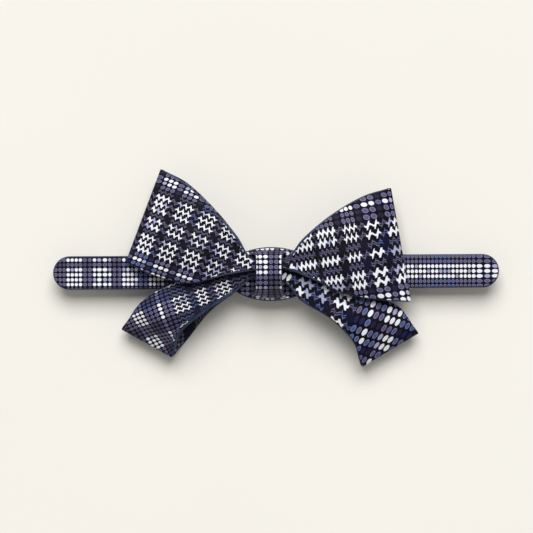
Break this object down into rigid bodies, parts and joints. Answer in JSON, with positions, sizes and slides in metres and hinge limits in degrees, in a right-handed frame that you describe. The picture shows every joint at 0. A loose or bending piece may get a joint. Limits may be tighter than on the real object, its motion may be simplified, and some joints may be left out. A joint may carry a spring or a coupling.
{
  "type": "bow tie",
  "caption": "Ready-made bow tie of looped woven strips on a flat rounded strap, held by a knot band, with sprung clips behind.",
  "frame": {"origin": "middle of the bounding box in X and Y, on the surface that the tie lies on", "axes": "+X along the strap, to the right of someone facing the tie; +Y up the tie; +Z out of its face"},
  "size_m": [0.1918, 0.0856, 0.0232],
  "materials": {
    "woven_check": "woven, satin",
    "navy_interlining": "plain cut edge",
    "navy_lining": "satin",
    "navy_thread": "twisted",
    "nickel_plate": "bright",
    "spring_steel": "drawn wire"
  },
  "bodies": {
    "tie": {"strap_face_cloth": "woven_check", "oval_base_cloth": "woven_check", "upper_bow_outer_cloth": "woven_check", "upper_bow_inner_cloth": "woven_check", "lower_bow_outer_cloth": "woven_check", "lower_bow_inner_cloth": "woven_check", "knot_band_cloth": "woven_check", "strap_core": "navy_interlining", "oval_base_core": "navy_interlining", "upper_bow_core": "navy_interlining", "lower_bow_core": "navy_interlining", "knot_band_core": "navy_interlining", "waist_binding": "navy_interlining", "strap_back_lining": "navy_lining", "seam_stitch_left": "navy_thread", "seam_stitch_middle": "navy_thread", "seam_stitch_right": "navy_thread", "left_clip_base_plate": "nickel_plate", "left_clip_hinge_pin": "nickel_plate", "left_clip_tail_rivet": "nickel_plate", "left_clip_jaw_rivet": "nickel_plate", "right_clip_base_plate": "nickel_plate", "right_clip_hinge_pin": "nickel_plate", "right_clip_tail_rivet": "nickel_plate", "right_clip_jaw_rivet": "nickel_plate", "left_clip_torsion_spring": "spring_steel", "right_clip_torsion_spring": "spring_steel"},
    "left_lever": {"left_clip_lever": "nickel_plate"},
    "right_lever": {"right_clip_lever": "nickel_plate"}
  },
  "joints": [
    {"name": "left_clip_hinge", "type": "hinge", "parent": "tie", "child": "left_lever", "pos_m": [-0.0729, -0.00164, 0.00475], "axis": [0, -1, 0], "range_deg": [0, 24], "stiffness_Nm_per_rad": 0.02, "springref_deg": -20.05, "deforming": ["left_clip_torsion_spring"]},
    {"name": "right_clip_hinge", "type": "hinge", "parent": "tie", "child": "right_lever", "pos_m": [0.0729, -0.00164, 0.00475], "axis": [0, 1, 0], "range_deg": [0, 24], "stiffness_Nm_per_rad": 0.02, "springref_deg": -20.05, "deforming": ["right_clip_torsion_spring"]}
  ]
}
